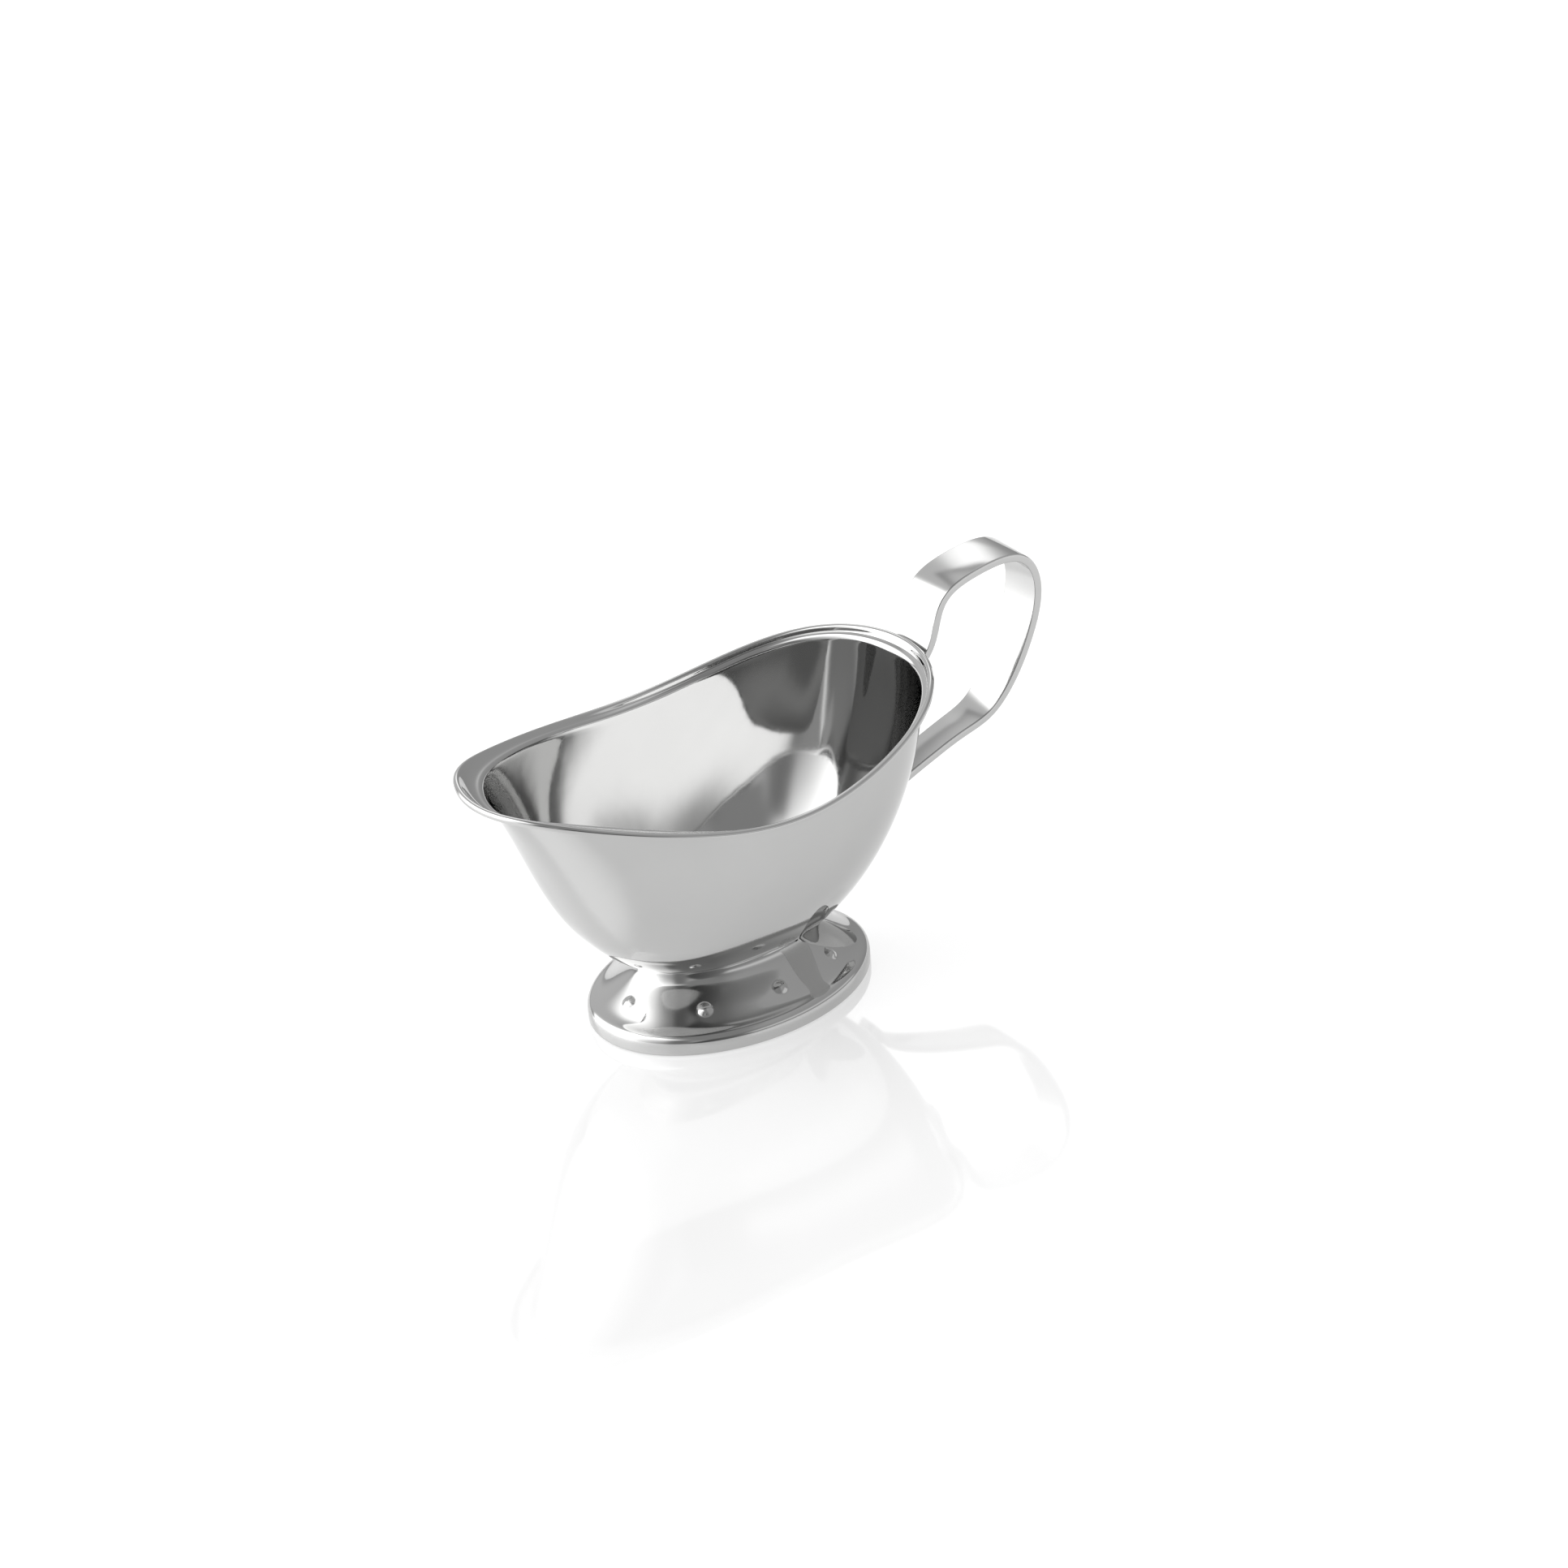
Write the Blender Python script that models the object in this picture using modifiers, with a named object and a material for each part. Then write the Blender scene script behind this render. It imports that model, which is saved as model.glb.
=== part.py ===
"""Footed gravy boat in pressed stainless steel: a deep-drawn bowl with a flared, rolled rim and a long pouring lip,
a hollow oval foot with a ring of eight raised pips, and a bent strip handle.  Metres, +Z up, +X towards the handle,
-X towards the lip, the boat symmetric about the plane y = 0.  The design lengths below are millimetres."""
import math

import bmesh
import bpy
import numpy as np
from mathutils import Matrix, Vector

# ---------------------------------------------------------------- driving dimensions, mm
X_SHIFT = -16.05         # the foot's centre sits this far towards the lip from the middle of the whole length
SHEET = 0.6              # thickness of the pressed sheet
GAP = 0.3                # clearance kept between neighbouring pieces

# rim, outer edge in plan: x = RIM_X0 + RIM_A cos t, y and z as short harmonic sums
RIM_X0, RIM_A = -4.7, 74.0
RIM_Y = (44.1, 1.8, 0.7, -0.3, 0.4, -0.4)                      # sin t, sin 2t ...
RIM_Z = (82.8, -2.9, 6.6, 0.3, -1.3, -0.1, -0.1, 0.1, -0.1)    # 1, cos t, cos 2t ...
FLARE_W = (5.1, -2.1, 1.1, 0.1, 0.1, 0.1)                      # flare width, cos k t
FLARE_H = (2.3, -0.6, 1.0, -0.8, 0.5)                          # flare rise, cos k t
BEAD_R = 1.0             # rolled bead
BEAD_LEG = 0.6           # straight end of the roll
BEND_IN, BEND_OUT = 1.8, 1.4   # lengths of the tight bend below and beyond its crest

# bowl wall, wet side: control ordinates of the three profiles from the flat bottom to the bend
FLOOR_Z = 19.2           # wet side of the flat bottom
PROFILE_HANDLE = (27.6, 31.3, 39.2, 50.5, 61.3, 64.9)
PROFILE_LIP = (7.5, 33.4, 47.1, 49.9, 55.2, 70.6)
PROFILE_SIDE = (18.1, 18.2, 26.5, 36.2, 40.6, 39.9)
PLAN_HANDLE, PLAN_LIP = 2.18, 2.73   # fullness of the lower plan curves at either end
PLAN_BLEND = 2.37

# foot: semi-axes of the outline, and the section as (inset, height) control points
FOOT_A, FOOT_B = 43.3, 31.9
FOOT_SECTION = ((24.0, 18.3), (20.5, 18.3), (17.2, 18.3), (15.4, 18.2), (15.2, 16.9), (14.2, 14.9), (11.6, 12.6),
                (8.6, 10.3), (5.6, 8.1), (3.3, 6.6), (1.3, 5.9), (0.2, 4.7), (0.0, 3.3), (0.0, 2.2))
FOOT_CORNER, FOOT_LEDGE = 1.2, 2.2     # rounding at the floor, and the flat turned-in resting ring
PIP_A, PIP_B, PIP_D, PIP_H = 35.2, 23.8, 4.4, 0.85
PIP_RUN = (1.7, 24.7, 47.9, 70.0)    # distances round the ring of one half of the pips; the others stand opposite

# handle: strip section and the loop's control points (x, z)
STRIP_T = 2.4
STRIP_W = (12.4, 14.7, 14.2, 10.2, 7.4)    # width at even steps along the strip
LOOP = ((71.4, 83.6), (73.4, 89.5), (76.2, 99.6), (89.2, 102.5), (105.6, 103.2), (111.5, 90.0), (106.3, 75.1),
        (99.3, 62.2), (91.5, 53.9), (82.8, 52.2), (72.2, 48.8), (61.5, 45.0))
PAD_HIGH = (65.6, 70.0, 74.5, 78.5)        # heights of the upper pad on the back wall
PAD_LOW = (41.0, 38.2, 35.4, 32.6)         # heights of the lower pad
EDGE_R = 0.35

# weld nuggets
NUGGET_R, NUGGET_L = 1.4, 1.0
HANDLE_WELDS = {"handle_upper_weld_left": (70.5, 3.2), "handle_upper_weld_right": (70.5, -3.2),
                "handle_lower_weld_top": (39.2, 0.0), "handle_lower_weld_bottom": (35.2, 0.0)}
FOOT_WELD_X, FOOT_WELD_Y = 17.5, 9.2

COLUMNS = 64
WALL_ROWS = 10


# ---------------------------------------------------------------- curves
def bezier(c, s):
    n = len(c) - 1
    return sum(c[k] * math.comb(n, k) * s**k * (1 - s) ** (n - k) for k in range(n + 1))


def spline(points, samples):
    """Clamped cubic B-spline with these control points, evenly sampled in its parameter."""
    p = np.array(points, float)
    n = len(p)
    knots = np.concatenate([np.zeros(3), np.linspace(0, 1, n - 2), np.ones(3)])
    out = []
    for u in np.linspace(0, 1, samples):
        k = min(int(np.searchsorted(knots, u, side="right")) - 1, n - 1)
        d = [p[k - 3 + j].copy() for j in range(4)]
        for r in range(1, 4):
            for j in range(3, r - 1, -1):
                i = k - 3 + j
                w = (u - knots[i]) / (knots[i + 4 - r] - knots[i])
                d[j] = (1 - w) * d[j - 1] + w * d[j]
        out.append(d[3])
    return np.array(out)


def rim(t):
    """Outer edge of the rim at angle t, with its outward normal in plan."""
    x = RIM_X0 + RIM_A * np.cos(t)
    y = sum(b * np.sin((k + 1) * t) for k, b in enumerate(RIM_Y))
    z = sum(c * np.cos(k * t) for k, c in enumerate(RIM_Z))
    tx = -RIM_A * np.sin(t)
    ty = sum((k + 1) * b * np.cos((k + 1) * t) for k, b in enumerate(RIM_Y))
    n = np.hypot(tx, ty)
    return np.array([x, y, z]), np.array([ty / n, -tx / n, 0.0])


def flare(t):
    return (sum(c * np.cos(k * t) for k, c in enumerate(FLARE_W)),
            sum(c * np.cos(k * t) for k, c in enumerate(FLARE_H)))


def crest(t):
    """Crest of the tight bend between the wall and the flare."""
    p, n = rim(t)
    w, h = flare(t)
    return p - n * w - np.array([0.0, 0.0, h])


CREST_BACK, CREST_LIP = crest(0.0)[0], crest(math.pi)[0]
MID_X, HALF_X = (CREST_BACK + CREST_LIP) / 2, (CREST_BACK - CREST_LIP) / 2
HALF_Y = max(crest(a)[1] for a in np.linspace(1.0, 2.4, 141))


def wall(t, s, floor=FLOOR_Z):
    """Wet side of the bowl at rim angle t; s runs from 0 at the flat bottom to 1 at the crest of the bend."""
    c = crest(t)
    u = s * s
    cx = min(1.0, max(-1.0, (c[0] - MID_X) / HALF_X))
    e = min(1.0, max(0.0, (cx + 0.6) / 1.2))
    e = e * e * (3 - 2 * e)
    p = PLAN_LIP + (PLAN_HANDLE - PLAN_LIP) * e
    ell = HALF_Y * max(0.0, 1 - abs(cx) ** p) ** (1 / p) * (1 if c[1] >= 0 else -1)
    back, lip, side = bezier(PROFILE_HANDLE, s), -bezier(PROFILE_LIP, s), bezier(PROFILE_SIDE, s)
    back *= CREST_BACK / PROFILE_HANDLE[-1]
    lip *= CREST_LIP / -PROFILE_LIP[-1]
    w = u**PLAN_BLEND
    return np.array([(back + lip) / 2 + (back - lip) / 2 * cx,
                     side / PROFILE_SIDE[-1] * (w * c[1] + (1 - w) * ell),
                     floor + u * (c[2] - floor)])


def rim_section(t, bend=4, sweep=4, roll=5):
    """Points of the wet side from the last of the wall over the bend, up the flare and round the bead."""
    c = crest(t)
    _, n = rim(t)
    w, h = flare(t)
    up = np.array([0.0, 0.0, 1.0])
    s0 = math.sqrt(1 - BEND_IN / (c[2] - FLOOR_Z))
    start = wall(t, s0)
    along = start - wall(t, s0 - 0.02)
    along /= np.linalg.norm(along)
    slope = math.atan2(h, w)
    low, high = 0.35 * slope, min(1.05, 1.75 * slope)
    join = c + n * BEND_OUT * math.cos(low) + up * BEND_OUT * math.sin(low)
    centre = c + n * (w - BEAD_R) + up * (h - BEAD_R)
    top = centre + BEAD_R * (-math.sin(high) * n + math.cos(high) * up)
    out = []

    def cubic(a, ta, b, tb, k, count):
        reach = np.linalg.norm(b - a) * k
        for i in range(1, count + 1):
            q = i / count
            out.append(a * (1 - q) ** 3 + 3 * (a + ta * reach) * q * (1 - q) ** 2
                       + 3 * (b - tb * reach) * q * q * (1 - q) + b * q**3)

    t_low = math.cos(low) * n + math.sin(low) * up
    t_high = math.cos(high) * n + math.sin(high) * up
    cubic(start, along, join, t_low, 0.42, bend)
    cubic(join, t_low, top, t_high, 0.36, sweep)
    for i in range(1, roll + 1):
        a = high + (math.radians(-100) - high) * i / roll
        out.append(centre + BEAD_R * (-math.sin(a) * n + math.cos(a) * up))
    a = math.radians(-100)
    out.append(out[-1] + BEAD_LEG * (math.cos(a) * n + math.sin(a) * up))
    return start, out


def back_wall(z):
    """Outside of the bowl on the centre plane at the handle end, at this height, with its outward normal."""
    c = crest(0.0)
    s = math.sqrt((z - FLOOR_Z) / (c[2] - FLOOR_Z))
    p, q = wall(0.0, s), wall(0.0, s + 0.01)
    d = (q - p) / np.linalg.norm(q - p)
    n = np.array([d[2], 0.0, -d[0]])
    return p + n * SHEET, n


# ---------------------------------------------------------------- objects
for old in list(bpy.data.objects):
    bpy.data.objects.remove(old, do_unlink=True)
for old in list(bpy.data.collections):
    bpy.data.collections.remove(old)

pieces = bpy.data.collections.new("gravy_boat")
cutters = bpy.data.collections.new("cutters")
bpy.context.scene.collection.children.link(pieces)
bpy.context.scene.collection.children.link(cutters)


def steel(name, colour, roughness):
    m = bpy.data.materials.new(name)
    m.use_nodes = True
    b = m.node_tree.nodes["Principled BSDF"]
    b.inputs["Base Color"].default_value = (*colour, 1.0)
    b.inputs["Metallic"].default_value = 1.0
    b.inputs["Roughness"].default_value = roughness
    return m


def world(p):
    return Vector(((p[0] + X_SHIFT) / 1000, p[1] / 1000, p[2] / 1000))


def new_object(name, bm, material=None, cutter=False):
    mesh = bpy.data.meshes.new(name)
    bm.to_mesh(mesh)
    bm.free()
    for f in mesh.polygons:
        f.use_smooth = True
    o = bpy.data.objects.new(name, mesh)
    (cutters if cutter else pieces).objects.link(o)
    if cutter:
        o.hide_render = True
        o.display_type = "WIRE"
    else:
        mesh.materials.append(material)
    return o


def lofted(rows, inward, cap=False):
    """A surface of closed rows of points; the rows all run anticlockwise from above."""
    bm = bmesh.new()
    grid = [[bm.verts.new(world(p)) for p in row] for row in rows]
    n = len(grid[0])
    for a, b in zip(grid, grid[1:]):
        for i in range(n):
            j = (i + 1) % n
            q = (a[i], a[j], b[j], b[i])
            bm.faces.new(q[::-1] if inward else q)
    if cap:
        bm.faces.new(grid[0])
    return bm


def solidify(o, thickness, offset):
    m = o.modifiers.new("sheet", "SOLIDIFY")
    m.thickness = thickness / 1000
    m.offset = offset
    m.use_even_offset = True
    m.use_rim = True
    m.thickness_clamp = 0.0
    return m


def boolean(o, other, operation):
    m = o.modifiers.new(other.name, "BOOLEAN")
    m.object = other
    m.operation = operation
    m.solver = "EXACT"


def cylinder(bm, radius, length, centre, axis, segments=16):
    """A closed cylinder whose middle is at centre (mm)."""
    turn = Vector((0, 0, 1)).rotation_difference(Vector(axis)).to_matrix().to_4x4()
    bmesh.ops.create_cone(bm, cap_ends=True, segments=segments, radius1=radius / 1000, radius2=radius / 1000,
                          depth=length / 1000, matrix=Matrix.Translation(world(centre)) @ turn)


# bowl: wall rows, then the rim rows
angles = [2 * math.pi * i / COLUMNS for i in range(COLUMNS)]
sections = [rim_section(t) for t in angles]
rows = []
for j in range(WALL_ROWS):
    f = j / WALL_ROWS
    row = []
    for t in angles:
        c = crest(t)
        s0 = math.sqrt(1 - BEND_IN / (c[2] - FLOOR_Z))
        row.append(wall(t, f * s0))
    rows.append(row)
rows.append([start for start, _ in sections])
for k in range(len(sections[0][1])):
    rows.append([points[k] for _, points in sections])
bowl = new_object("bowl", lofted(rows, inward=True, cap=True), steel("bowl_steel", (0.78, 0.78, 0.77), 0.08))
solidify(bowl, SHEET, -1.0)

# foot: rows of ellipses down the section, the rounded corner and the resting ring
section = [tuple(p) for p in spline(FOOT_SECTION, 17)]
section += [(0.0, FOOT_CORNER), (FOOT_CORNER * 0.293, FOOT_CORNER * 0.293), (FOOT_CORNER, 0.0),
            (FOOT_CORNER + FOOT_LEDGE, 0.0)]
foot_angles = [2 * math.pi * i / COLUMNS for i in range(COLUMNS)]
rows = [[((FOOT_A - d) * math.cos(t), (FOOT_B - d) * math.sin(t), z) for t in foot_angles] for d, z in section]
foot = new_object("foot", lofted(rows, inward=True), steel("foot_steel", (0.76, 0.76, 0.75), 0.10))
solidify(foot, SHEET, -1.0)

# eight pips round an ellipse, each facing its pair across the centre, square to the foot's slope
fine = np.linspace(0, 2 * math.pi, 2001)
ring = np.stack([PIP_A * np.cos(fine), PIP_B * np.sin(fine)], 1)
run = np.concatenate([[0], np.cumsum(np.hypot(*np.diff(ring, axis=0).T))])
bm = bmesh.new()
for d in PIP_RUN + tuple(d + run[-1] / 2 for d in PIP_RUN):
    a = float(np.interp(d % run[-1], run, fine))
    inset = FOOT_A - PIP_A
    below = np.interp(inset + 0.4, [p[0] for p in section[::-1]][4:], [p[1] for p in section[::-1]][4:])
    above = np.interp(inset - 0.4, [p[0] for p in section[::-1]][4:], [p[1] for p in section[::-1]][4:])
    slope = (below - above) / 0.8
    z = (below + above) / 2
    nx, ny = math.cos(a) / PIP_A, math.sin(a) / PIP_B
    m = math.hypot(nx, ny)
    normal = Vector((nx / m * slope, ny / m * slope, 1.0)).normalized()
    turn = Vector((0, 0, 1)).rotation_difference(normal).to_matrix().to_4x4()
    centre = world((PIP_A * math.cos(a), PIP_B * math.sin(a), z)) - normal * (SHEET / 2000)
    bmesh.ops.create_uvsphere(bm, u_segments=12, v_segments=6, radius=1.0,
                              matrix=Matrix.Translation(centre) @ turn
                              @ Matrix.Diagonal((PIP_D / 2000, PIP_D / 2000, PIP_H / 1000, 1.0)))
pips = new_object("pips", bm, cutter=True)
boolean(foot, pips, "UNION")

# plug welds through the foot's top flange
bm = bmesh.new()
weld_places = [(sx * FOOT_WELD_X, sy * FOOT_WELD_Y) for sx in (1, -1) for sy in (1, -1)]
for x, y in weld_places:
    cylinder(bm, NUGGET_R + GAP, 4.0, (x, y, 18.0), (0, 0, 1))
boolean(foot, new_object("foot_weld_holes", bm, cutter=True), "DIFFERENCE")
for k, (x, y) in enumerate(weld_places):
    bm = bmesh.new()
    cylinder(bm, NUGGET_R, SHEET, (x, y, 18.3 - SHEET / 2), (0, 0, 1))
    new_object(f"foot_weld_{k + 1}", bm, steel(f"foot_weld_{k + 1}_steel", (0.6, 0.6, 0.6), 0.35))

# handle: upper pad up the back wall, the loop, then the lower pad down the wall
centre_line = []
for z in PAD_HIGH:
    p, n = back_wall(z)
    centre_line.append(p + n * (GAP + STRIP_T / 2))
centre_line += [np.array((x, 0.0, z)) for x, z in LOOP]
for z in PAD_LOW:
    p, n = back_wall(z)
    centre_line.append(p + n * (GAP + STRIP_T / 2))
path = spline(centre_line, 60)
bm = bmesh.new()
left, right = [], []
for i, p in enumerate(path):
    u = i / (len(path) - 1) * (len(STRIP_W) - 1)
    k = min(int(u), len(STRIP_W) - 2)
    f = u - k
    f = f * f * (3 - 2 * f)
    w = STRIP_W[k] + (STRIP_W[k + 1] - STRIP_W[k]) * f
    end = min(i, len(path) - 1 - i)
    w *= (0.86, 0.96, 1.0)[min(end, 2)]
    left.append(bm.verts.new(world((p[0], w / 2, p[2]))))
    right.append(bm.verts.new(world((p[0], -w / 2, p[2]))))
for i in range(len(path) - 1):
    bm.faces.new((left[i], left[i + 1], right[i + 1], right[i]))
handle = new_object("handle", bm, steel("handle_steel", (0.74, 0.74, 0.73), 0.12))
solidify(handle, STRIP_T, 0.0)
bevel = handle.modifiers.new("edges", "BEVEL")
bevel.width = EDGE_R / 1000
bevel.segments = 2
bevel.limit_method = "ANGLE"
bevel.angle_limit = math.radians(60)

# blind pockets on the wall side of the pads, with a nugget in each
bm = bmesh.new()
nuggets = {}
for name, (z, y) in HANDLE_WELDS.items():
    p, n = back_wall(z)
    base = np.array((p[0], y, p[2]))
    cylinder(bm, NUGGET_R + GAP, 2 * (NUGGET_L + GAP), base + n * GAP, n)
    nuggets[name] = (base + n * (GAP + NUGGET_L / 2), n)
boolean(handle, new_object("handle_weld_pockets", bm, cutter=True), "DIFFERENCE")
for name, (centre, n) in nuggets.items():
    bm = bmesh.new()
    cylinder(bm, NUGGET_R, NUGGET_L, centre, n)
    new_object(name, bm, steel(name + "_steel", (0.6, 0.6, 0.6), 0.35))
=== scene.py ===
import math

import bmesh
import bpy
import numpy as np
from mathutils import Matrix, Vector


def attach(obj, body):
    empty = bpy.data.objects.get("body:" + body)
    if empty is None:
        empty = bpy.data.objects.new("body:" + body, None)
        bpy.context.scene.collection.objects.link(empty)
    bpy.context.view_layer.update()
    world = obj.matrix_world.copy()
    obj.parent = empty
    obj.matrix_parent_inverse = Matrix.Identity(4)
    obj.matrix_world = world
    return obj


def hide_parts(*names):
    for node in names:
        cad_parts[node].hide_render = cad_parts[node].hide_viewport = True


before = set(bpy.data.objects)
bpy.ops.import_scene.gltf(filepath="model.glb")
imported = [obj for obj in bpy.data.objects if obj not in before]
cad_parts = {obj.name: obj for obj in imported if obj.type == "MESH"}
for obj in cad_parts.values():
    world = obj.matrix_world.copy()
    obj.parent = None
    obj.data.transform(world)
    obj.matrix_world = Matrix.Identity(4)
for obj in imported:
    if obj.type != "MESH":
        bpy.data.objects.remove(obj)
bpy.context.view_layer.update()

# ================================================================= design, mm (the same rules as the CAD model)
X_SHIFT = -16.05
SHEET = 0.6
GAP = 0.3
RIM_X0, RIM_A = -4.7, 74.0
RIM_Y = (44.1, 1.8, 0.7, -0.3, 0.4, -0.4)
RIM_Z = (82.8, -2.9, 6.6, 0.3, -1.3, -0.1, -0.1, 0.1, -0.1)
FLARE_W = (5.1, -2.1, 1.1, 0.1, 0.1, 0.1)
FLARE_H = (2.3, -0.6, 1.0, -0.8, 0.5)
BEAD_R = 1.0
BEAD_LEG = 0.6
BEND_IN, BEND_OUT = 1.8, 1.4
FLOOR_Z = 19.2
PROFILE_HANDLE = (27.6, 31.3, 39.2, 50.5, 61.3, 64.9)
PROFILE_LIP = (7.5, 33.4, 47.1, 49.9, 55.2, 70.6)
PROFILE_SIDE = (18.1, 18.2, 26.5, 36.2, 40.6, 39.9)
PLAN_HANDLE, PLAN_LIP = 2.18, 2.73
PLAN_BLEND = 2.37
FOOT_A, FOOT_B = 43.3, 31.9
FOOT_SECTION = ((24.0, 18.3), (20.5, 18.3), (17.2, 18.3), (15.4, 18.2), (15.2, 16.9), (14.2, 14.9), (11.6, 12.6),
                (8.6, 10.3), (5.6, 8.1), (3.3, 6.6), (1.3, 5.9), (0.2, 4.7), (0.0, 3.3), (0.0, 2.2))
FOOT_CORNER, FOOT_LEDGE = 1.2, 2.2
PIP_A, PIP_B, PIP_D, PIP_H = 35.2, 23.8, 4.4, 0.75
PIP_RUN = (1.7, 24.7, 47.9, 70.0)    # distances round the ring of one half of the pips; the others stand opposite
STRIP_T = 2.4
STRIP_W = (12.4, 14.7, 14.2, 10.2, 7.4)
LOOP = ((71.4, 83.6), (73.4, 89.5), (76.2, 99.6), (89.2, 102.5), (105.6, 103.2), (111.5, 90.0), (106.3, 75.1),
        (99.3, 62.2), (91.5, 53.9), (82.8, 52.2), (72.2, 48.8), (61.5, 45.0))
PAD_HIGH = (65.6, 70.0, 74.5, 78.5)
PAD_LOW = (41.0, 38.2, 35.4, 32.6)
EDGE_R = 0.45
# studio
FLOOR_GLOW = 0.50
TENT = (0.39, 0.56)
CARDS = ((172, 56, 1.93, 0.78, 0.25, 2.85), (77, 50, 0.56, 0.76, 0.11, 0.76), (229, 82, 0.81, 0.81, 0.59, 0.04),
         (59, 44, 0.11, 0.52, 0.08, 1.99), (-50, 74, 0.75, 0.11, 0.08, 0.95), (-109, 9, 0.38, 1.49, 0.09, 0.34),
         (47, 30, 0.42, 0.22, 0.09, 0.83), (225, 72, 0.16, 0.43, 0.08, 0.26))


def bezier(c, s):
    n = len(c) - 1
    return sum(c[k] * math.comb(n, k) * s**k * (1 - s) ** (n - k) for k in range(n + 1))


def spline(points, samples):
    """Clamped cubic B-spline with these control points, evenly sampled in its parameter."""
    p = np.array(points, float)
    n = len(p)
    knots = np.concatenate([np.zeros(3), np.linspace(0, 1, n - 2), np.ones(3)])
    out = []
    for u in np.linspace(0, 1, samples):
        k = min(int(np.searchsorted(knots, u, side="right")) - 1, n - 1)
        d = [p[k - 3 + j].copy() for j in range(4)]
        for r in range(1, 4):
            for j in range(3, r - 1, -1):
                i = k - 3 + j
                w = (u - knots[i]) / (knots[i + 4 - r] - knots[i])
                d[j] = (1 - w) * d[j - 1] + w * d[j]
        out.append(d[3])
    return np.array(out)


def rim(t):
    """Outer edge of the rim at the angles t, and its outward normal in plan."""
    x = RIM_X0 + RIM_A * np.cos(t)
    y = sum(b * np.sin((k + 1) * t) for k, b in enumerate(RIM_Y))
    z = sum(c * np.cos(k * t) for k, c in enumerate(RIM_Z))
    tx = -RIM_A * np.sin(t)
    ty = sum((k + 1) * b * np.cos((k + 1) * t) for k, b in enumerate(RIM_Y))
    n = np.hypot(tx, ty)
    return np.stack([x, y, z], -1), np.stack([ty / n, -tx / n, 0 * n], -1)


def flare(t):
    return (sum(c * np.cos(k * t) for k, c in enumerate(FLARE_W)),
            sum(c * np.cos(k * t) for k, c in enumerate(FLARE_H)))


UP = np.array([0.0, 0.0, 1.0])


def crest(t):
    p, n = rim(t)
    w, h = flare(t)
    return p - n * w[..., None] - UP * h[..., None]


CREST_BACK, CREST_LIP = crest(np.array([0.0]))[0][0], crest(np.array([math.pi]))[0][0]
MID_X, HALF_X = (CREST_BACK + CREST_LIP) / 2, (CREST_BACK - CREST_LIP) / 2
HALF_Y = crest(np.linspace(1.0, 2.4, 141))[:, 1].max()


def wall(t, s):
    """Wet side of the bowl at the angles t; s runs from 0 at the flat bottom to 1 at the crest of the bend."""
    c = crest(t)
    u = s * s
    cx = np.clip((c[:, 0] - MID_X) / HALF_X, -1, 1)
    e = np.clip((cx + 0.6) / 1.2, 0, 1)
    e = e * e * (3 - 2 * e)
    p = PLAN_LIP + (PLAN_HANDLE - PLAN_LIP) * e
    ell = HALF_Y * np.maximum(0.0, 1 - np.abs(cx) ** p) ** (1 / p) * np.where(c[:, 1] >= 0, 1, -1)
    back = bezier(PROFILE_HANDLE, s) * CREST_BACK / PROFILE_HANDLE[-1]
    lip = -bezier(PROFILE_LIP, s) * CREST_LIP / -PROFILE_LIP[-1]
    side = bezier(PROFILE_SIDE, s)
    w = u**PLAN_BLEND
    return np.stack([(back + lip) / 2 + (back - lip) / 2 * cx,
                     side / PROFILE_SIDE[-1] * (w * c[:, 1] + (1 - w) * ell),
                     FLOOR_Z + u * (c[:, 2] - FLOOR_Z)], -1)


def unit(v):
    return v / np.linalg.norm(v, axis=-1, keepdims=True)


def rim_rows(t, bend, sweep, roll):
    """Rows of points over the bend, up the flare and round the bead, after the wall's last row."""
    c = crest(t)
    _, n = rim(t)
    w, h = flare(t)
    s0 = np.sqrt(1 - BEND_IN / (c[:, 2] - FLOOR_Z))
    start = wall(t, s0)
    along = unit(start - wall(t, s0 - 0.02))
    slope = np.arctan2(h, w)
    low, high = 0.35 * slope, np.minimum(1.05, 1.75 * slope)

    def towards(a):
        return np.cos(a)[:, None] * n + np.sin(a)[:, None] * UP

    join = c + BEND_OUT * towards(low)
    centre = c + n * (w - BEAD_R)[:, None] + UP * (h - BEAD_R)[:, None]

    def on_bead(a):
        return centre + BEAD_R * (-np.sin(a)[:, None] * n + np.cos(a)[:, None] * UP)

    rows = []

    def cubic(a, ta, b, tb, k, count):
        reach = np.linalg.norm(b - a, axis=1)[:, None] * k
        for i in range(1, count + 1):
            q = i / count
            rows.append(a * (1 - q) ** 3 + 3 * (a + ta * reach) * q * (1 - q) ** 2
                        + 3 * (b - tb * reach) * q * q * (1 - q) + b * q**3)

    cubic(start, along, join, towards(low), 0.42, bend)
    cubic(join, towards(low), on_bead(high), towards(high), 0.36, sweep)
    end = math.radians(-100)
    for i in range(1, roll + 1):
        rows.append(on_bead(high + (end - high) * i / roll))
    for i in (1, 2):
        rows.append(rows[-1] + BEAD_LEG / 2 * towards(np.full_like(t, end)))
    return start, rows


def back_wall(z):
    """Outside of the bowl on the centre plane at the handle end, at this height, with its outward normal."""
    zero = np.array([0.0])
    c = crest(zero)[0]
    s = math.sqrt((z - FLOOR_Z) / (c[2] - FLOOR_Z))
    p, q = wall(zero, s)[0], wall(zero, s + 0.01)[0]
    d = (q - p) / np.linalg.norm(q - p)
    n = np.array([d[2], 0.0, -d[0]])
    return p + n * SHEET, n


# ================================================================= meshes
def to_metres(p):
    return (np.asarray(p, float) + np.array([X_SHIFT, 0, 0])) / 1000


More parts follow.
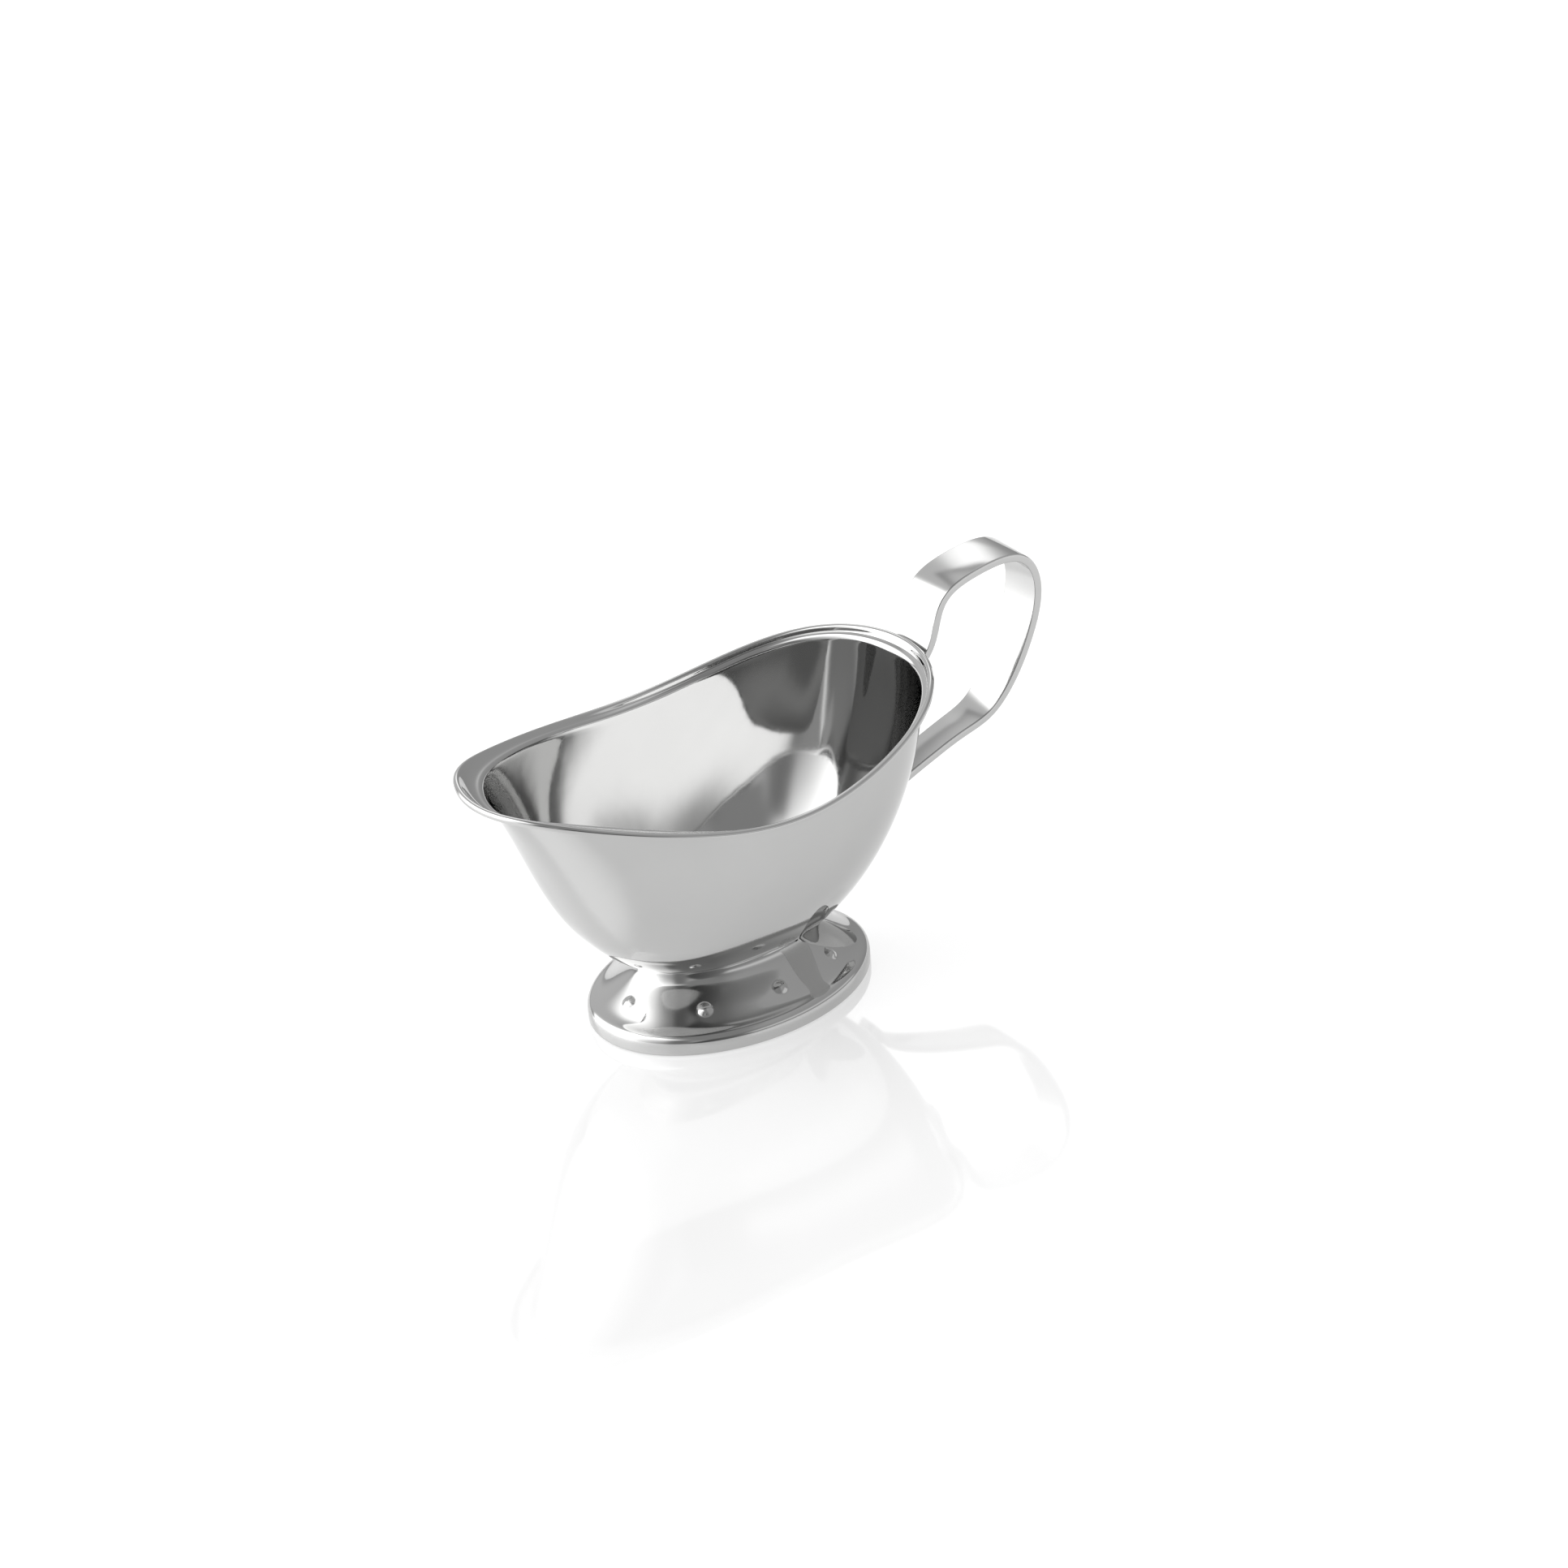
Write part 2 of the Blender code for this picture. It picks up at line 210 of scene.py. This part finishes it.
def mesh_object(name, points, faces):
    mesh = bpy.data.meshes.new(name)
    mesh.from_pydata([tuple(p) for p in to_metres(points)], [], faces)
    mesh.update()
    mesh.polygons.foreach_set("use_smooth", np.ones(len(mesh.polygons), bool))
    o = bpy.data.objects.new(name, mesh)
    bpy.context.scene.collection.objects.link(o)
    return o


def loft(name, rows, inward, centre=None):
    """Closed rows of points, anticlockwise from above, joined into a surface; centre closes the first row."""
    n = len(rows[0])
    points = np.concatenate(rows)
    faces = []
    for r in range(len(rows) - 1):
        a, b = r * n, (r + 1) * n
        for i in range(n):
            j = (i + 1) % n
            q = (a + i, a + j, b + j, b + i)
            faces.append(q[::-1] if inward else q)
    if centre is not None:
        points = np.concatenate([points, [centre]])
        last = len(points) - 1
        for i in range(n):
            faces.append((i, (i + 1) % n, last))
    return mesh_object(name, points, faces)


def sheet(o, thickness, offset=-1.0):
    m = o.modifiers.new("sheet", "SOLIDIFY")
    m.thickness = thickness / 1000
    m.offset = offset
    m.use_even_offset = True
    m.thickness_clamp = 0.0


def settle(o, angle=40):
    """Replace the object's mesh by its evaluated one, with sharp edges kept crisp."""
    bpy.context.view_layer.update()
    mesh = bpy.data.meshes.new_from_object(o.evaluated_get(bpy.context.evaluated_depsgraph_get()))
    old = o.data
    o.modifiers.clear()
    o.data = mesh
    bpy.data.meshes.remove(old)
    mesh.polygons.foreach_set("use_smooth", np.ones(len(mesh.polygons), bool))
    mesh.set_sharp_from_angle(angle=math.radians(angle))
    return o


# ---- bowl
COLUMNS = 320
t = 2 * math.pi * np.arange(COLUMNS) / COLUMNS
start, rim_part = rim_rows(t, 10, 18, 14)
s_end = np.sqrt(1 - BEND_IN / (crest(t)[:, 2] - FLOOR_Z))
ring0 = wall(t, np.zeros_like(t))
middle = np.array([ring0[:, 0].mean(), 0.0, FLOOR_Z])
rows = [middle + (ring0 - middle) * k / 6 for k in range(1, 6)]
WALL_ROWS = 84
rows += [wall(t, s_end * j / WALL_ROWS) for j in range(WALL_ROWS)]
rows += [start] + rim_part
bowl = loft("polished_bowl", rows, inward=True, centre=middle)
sheet(bowl, SHEET)
settle(bowl)

# ---- foot
COLUMNS_F = 560
tf = 2 * math.pi * np.arange(COLUMNS_F) / COLUMNS_F
section = [tuple(p) for p in spline(FOOT_SECTION, 150)]
corner = [(FOOT_CORNER * (1 - math.cos(a)), FOOT_CORNER * (1 - math.sin(a))) for a in np.linspace(0, math.pi / 2, 9)]
section += corner + [(FOOT_CORNER + FOOT_LEDGE * k / 3, 0.0) for k in (1, 2, 3)]
section = np.array(section)
fine = np.linspace(0, 2 * math.pi, 4001)
ring = np.stack([PIP_A * np.cos(fine), PIP_B * np.sin(fine)], 1)
run = np.concatenate([[0], np.cumsum(np.hypot(*np.diff(ring, axis=0).T))])
pip_xy = []
for d in PIP_RUN + tuple(d + run[-1] / 2 for d in PIP_RUN):
    a = float(np.interp(d % run[-1], run, fine))
    pip_xy.append((PIP_A * math.cos(a), PIP_B * math.sin(a)))
pip_xy = np.array(pip_xy)
slope = np.gradient(section[:, 1]) / np.where(np.abs(np.gradient(section[:, 0])) < 1e-6, 1e-6, np.gradient(section[:, 0]))
rows = []
for (d, z), g in zip(section, slope):
    a, b = FOOT_A - d, FOOT_B - d
    p = np.stack([a * np.cos(tf), b * np.sin(tf), np.full_like(tf, z)], -1)
    if 3.5 < d < 15 and z > 2.5:
        n = unit(np.stack([np.cos(tf) / a, np.sin(tf) / b], -1))
        normal = unit(np.stack([n[:, 0] * g, n[:, 1] * g, np.ones_like(tf)], -1))
        # distance over the surface: the offset along the slope counts in full
        near = np.full_like(tf, 1e9)
        for cx, cy in pip_xy:
            m = unit(np.array([cx / PIP_A**2, cy / PIP_B**2]))
            dx, dy = p[:, 0] - cx, p[:, 1] - cy
            out = dx * m[0] + dy * m[1]
            round_ = -dx * m[1] + dy * m[0]
            near = np.minimum(near, np.hypot(out * math.hypot(1, min(abs(g), 2.0)), round_))
        q = np.clip(near / (PIP_D / 2), 0, 1)
        dome = (1 - q**2) ** 1.35
        p = p + normal * (PIP_H * dome)[:, None]
    rows.append(p)
foot = loft("polished_foot", rows, inward=True)
sheet(foot, SHEET)
settle(foot)

# ---- handle
line = []
for z in PAD_HIGH:
    p, n = back_wall(z)
    line.append(p + n * (GAP + STRIP_T / 2))
line += [np.array((x, 0.0, z)) for x, z in LOOP]
for z in PAD_LOW:
    p, n = back_wall(z)
    line.append(p + n * (GAP + STRIP_T / 2))
path = spline(line, 420)
along = unit(np.gradient(path, axis=0))
side = np.array([0.0, 1.0, 0.0])
outer = np.stack([-along[:, 2], np.zeros(len(path)), along[:, 0]], -1)
length = np.concatenate([[0], np.cumsum(np.linalg.norm(np.diff(path, axis=0), axis=1))])


def rounded_section(w, th, r, per=5):
    """Corner-rounded rectangle as (across, out) pairs, anticlockwise."""
    pts = []
    for sx, sy, a0 in ((1, 1, 0), (-1, 1, 90), (-1, -1, 180), (1, -1, 270)):
        for k in range(per):
            a = math.radians(a0 + 90 * k / (per - 1))
            pts.append((sx * (w / 2 - r) + r * math.cos(a), sy * (th / 2 - r) + r * math.sin(a)))
    return np.array(pts)


rows = []
count = len(path)
ROUND = 2.2
for i in range(count):
    u = i / (count - 1) * (len(STRIP_W) - 1)
    k = min(int(u), len(STRIP_W) - 2)
    f = u - k
    f = f * f * (3 - 2 * f)
    w = STRIP_W[k] + (STRIP_W[k + 1] - STRIP_W[k]) * f
    end = min(length[i], length[-1] - length[i])
    th, r = STRIP_T, EDGE_R
    if end < ROUND:
        w -= 2 * ROUND * (1 - math.sqrt(max(0.0, 1 - (1 - end / ROUND) ** 2)))
    if end < EDGE_R:
        th -= 2 * EDGE_R * (1 - math.sqrt(max(0.0, 1 - (1 - end / EDGE_R) ** 2)))
        r = max(0.05, min(EDGE_R, th / 2 - 0.01))
    sec = rounded_section(w, th, r)
    rows.append(path[i] + sec[:, :1] * side + sec[:, 1:] * outer[i])
points = np.concatenate(rows)
m = len(rows[0])
faces = []
for r in range(count - 1):
    for i in range(m):
        j = (i + 1) % m
        faces.append((r * m + i, (r + 1) * m + i, (r + 1) * m + j, r * m + j))
faces.append(tuple(range(m)))
faces.append(tuple(range((count - 1) * m, count * m))[::-1])
handle = mesh_object("polished_handle", points, faces)
bm = bmesh.new()
bm.from_mesh(handle.data)
bmesh.ops.recalc_face_normals(bm, faces=bm.faces)
bm.to_mesh(handle.data)
bm.free()
handle.data.set_sharp_from_angle(angle=math.radians(40))


# ================================================================= materials
def nodes_of(name):
    m = bpy.data.materials.new(name)
    m.use_nodes = True
    t = m.node_tree
    return m, t, t.nodes["Principled BSDF"]


def add(t, kind, **values):
    n = t.nodes.new(kind)
    for k, v in values.items():
        setattr(n, k, v)
    return n


def steel(name, tint, rough, grain, wave=0.25):
    m, t, b = nodes_of(name)
    link = t.links.new
    b.inputs["Metallic"].default_value = 1.0
    where = add(t, "ShaderNodeTexCoord")
    # slow variation of the polish
    cloud = add(t, "ShaderNodeTexNoise")
    cloud.inputs["Scale"].default_value = 38.0
    cloud.inputs["Detail"].default_value = 4.0
    link(where.outputs["Object"], cloud.inputs["Vector"])
    colour = add(t, "ShaderNodeValToRGB")
    colour.color_ramp.elements[0].position = 0.3
    colour.color_ramp.elements[0].color = (*(c * 0.965 for c in tint), 1)
    colour.color_ramp.elements[1].position = 0.72
    colour.color_ramp.elements[1].color = (*tint, 1)
    link(cloud.outputs["Fac"], colour.inputs["Fac"])
    link(colour.outputs["Color"], b.inputs["Base Color"])
    # fine wiping marks, long in one direction
    stretch = add(t, "ShaderNodeMapping")
    stretch.inputs["Scale"].default_value = grain
    link(where.outputs["Object"], stretch.inputs["Vector"])
    marks = add(t, "ShaderNodeTexNoise")
    marks.inputs["Scale"].default_value = 1.0
    marks.inputs["Detail"].default_value = 8.0
    marks.inputs["Roughness"].default_value = 0.7
    link(stretch.outputs["Vector"], marks.inputs["Vector"])
    rr = add(t, "ShaderNodeMapRange")
    rr.inputs["From Min"].default_value = 0.35
    rr.inputs["From Max"].default_value = 0.75
    rr.inputs["To Min"].default_value = rough[0]
    rr.inputs["To Max"].default_value = rough[1]
    link(marks.outputs["Fac"], rr.inputs["Value"])
    link(rr.outputs["Result"], b.inputs["Roughness"])
    # the sheet's slight unevenness, and the marks' relief
    slow = add(t, "ShaderNodeTexNoise")
    slow.inputs["Scale"].default_value = 70.0
    slow.inputs["Detail"].default_value = 2.0
    link(where.outputs["Object"], slow.inputs["Vector"])
    dent = add(t, "ShaderNodeBump")
    dent.inputs["Strength"].default_value = wave
    dent.inputs["Distance"].default_value = 0.0002
    link(slow.outputs["Fac"], dent.inputs["Height"])
    fine_ = add(t, "ShaderNodeBump")
    fine_.inputs["Strength"].default_value = 0.12
    fine_.inputs["Distance"].default_value = 0.00001
    link(marks.outputs["Fac"], fine_.inputs["Height"])
    link(dent.outputs["Normal"], fine_.inputs["Normal"])
    link(fine_.outputs["Normal"], b.inputs["Normal"])
    return m


bowl_steel = steel("bowl_polished", (0.545, 0.545, 0.542), (0.03, 0.09), (240.0, 1400.0, 1400.0))
foot_steel = steel("foot_polished", (0.530, 0.530, 0.527), (0.04, 0.10), (900.0, 900.0, 1500.0))
handle_steel = steel("handle_polished", (0.570, 0.570, 0.567), (0.05, 0.12), (160.0, 2600.0, 160.0))
weld_steel = steel("weld_metal", (0.58, 0.57, 0.56), (0.30, 0.50), (1800.0, 1800.0, 1800.0))

for o, m, node, slot in ((bowl, bowl_steel, "bowl", "bowl_polished_steel"),
                         (foot, foot_steel, "foot", "foot_polished_steel"),
                         (handle, handle_steel, "handle", "handle_polished_steel")):
    o.data.materials.clear()
    o.data.materials.append(m)
    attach(o, "root")
    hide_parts(node)
for name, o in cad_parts.items():
    if "weld" in name:
        o.data.materials.clear()
        o.data.materials.append(weld_steel)

# ================================================================= stage
bm = bmesh.new()
bmesh.ops.create_circle(bm, cap_ends=True, radius=6.0, segments=96)
floor_mesh = bpy.data.meshes.new("floor")
bm.to_mesh(floor_mesh)
bm.free()
floor = bpy.data.objects.new("floor", floor_mesh)
floor.location.z = -0.00002
bpy.context.scene.collection.objects.link(floor)
m, t_, b = nodes_of("floor_gloss")
where = add(t_, "ShaderNodeTexCoord")
cloud = add(t_, "ShaderNodeTexNoise")
cloud.inputs["Scale"].default_value = 3.0
t_.links.new(where.outputs["Object"], cloud.inputs["Vector"])
rr = add(t_, "ShaderNodeMapRange")
rr.inputs["To Min"].default_value = 0.04
rr.inputs["To Max"].default_value = 0.07
t_.links.new(cloud.outputs["Fac"], rr.inputs["Value"])
t_.links.new(rr.outputs["Result"], b.inputs["Roughness"])
b.inputs["Base Color"].default_value = (0.52, 0.52, 0.52, 1)
b.inputs["IOR"].default_value = 2.0
b.inputs["Emission Color"].default_value = (1, 1, 1, 1)
b.inputs["Emission Strength"].default_value = FLOOR_GLOW
floor.data.materials.append(m)

# ================================================================= light
# A tent of soft light made of large cards, written as a function of direction.  Each card is
# azimuth, angle from the zenith (degrees), half width, half height, softness (tangents), and brightness.
world = bpy.data.worlds.new("studio")
bpy.context.scene.world = world
world.use_nodes = True
wt = world.node_tree
back = wt.nodes["Background"]
direction = add(wt, "ShaderNodeTexCoord").outputs["Generated"]


def calc(op, a, b=None, c=None):
    n = add(wt, "ShaderNodeMath", operation=op)
    for i, v in enumerate((a, b, c)):
        if v is None:
            continue
        if isinstance(v, (int, float)):
            n.inputs[i].default_value = v
        else:
            wt.links.new(v, n.inputs[i])
    return n.outputs[0]


def dot(v):
    n = add(wt, "ShaderNodeVectorMath", operation="DOT_PRODUCT")
    wt.links.new(direction, n.inputs[0])
    n.inputs[1].default_value = v
    return n.outputs["Value"]


def edge(x, half, soft):
    return calc("MULTIPLY_ADD", calc("TANH", calc("DIVIDE", calc("SUBTRACT", half, calc("ABSOLUTE", x)), soft)), 0.5, 0.5)


up = calc("MAXIMUM", dot((0, 0, 1)), 0.0)
glow = calc("MULTIPLY_ADD", up, TENT[1] - TENT[0], TENT[0])
for az, polar, half_w, half_h, soft, bright in CARDS:
    a, p = math.radians(az), math.radians(polar)
    c = Vector((math.sin(p) * math.cos(a), math.sin(p) * math.sin(a), math.cos(p)))
    u = Vector((-math.sin(a), math.cos(a), 0))
    facing = calc("MAXIMUM", dot(c), 0.001)
    across = edge(calc("DIVIDE", dot(u), facing), half_w, soft)
    high = edge(calc("DIVIDE", dot(c.cross(u)), facing), half_h, soft)
    card = calc("MULTIPLY", calc("MULTIPLY", across, high), calc("GREATER_THAN", facing, 0.02))
    glow = calc("MULTIPLY_ADD", card, calc("SUBTRACT", bright, glow), glow)
# the backdrop itself is plain white
seen = add(wt, "ShaderNodeLightPath").outputs["Is Camera Ray"]
glow = calc("MULTIPLY_ADD", seen, calc("SUBTRACT", 1.0, glow), glow)
wt.links.new(glow, back.inputs["Strength"])
back.inputs["Color"].default_value = (1, 1, 1, 1)

# ================================================================= camera
cam_data = bpy.data.cameras.new("camera")
cam_data.sensor_width = 36.0
cam_data.sensor_fit = "HORIZONTAL"
cam_data.lens = 9783.77 / 1932 * 36.0
cam_data.clip_start = 0.1
cam_data.clip_end = 50.0
cam = bpy.data.objects.new("camera", cam_data)
right = Vector((0.8063975, -0.5877331, -0.0655199))
down = Vector((-0.3416485, -0.3725710, -0.8628251))
forward = Vector((0.4827001, 0.7181648, -0.5012385))
basis = Matrix((right, -down, -forward)).transposed().to_4x4()
cam.matrix_world = Matrix.Translation(Vector(((-1043.858 + X_SHIFT) / 1000, -1.587873, 1.164729))) @ basis
bpy.context.scene.collection.objects.link(cam)
bpy.context.scene.camera = cam
bpy.context.scene.view_settings.view_transform = "Standard"
bpy.context.scene.cycles.max_bounces = 12
bpy.context.scene.cycles.glossy_bounces = 12
bpy.context.scene.cycles.diffuse_bounces = 4
bpy.context.scene.cycles.sample_clamp_indirect = 8.0
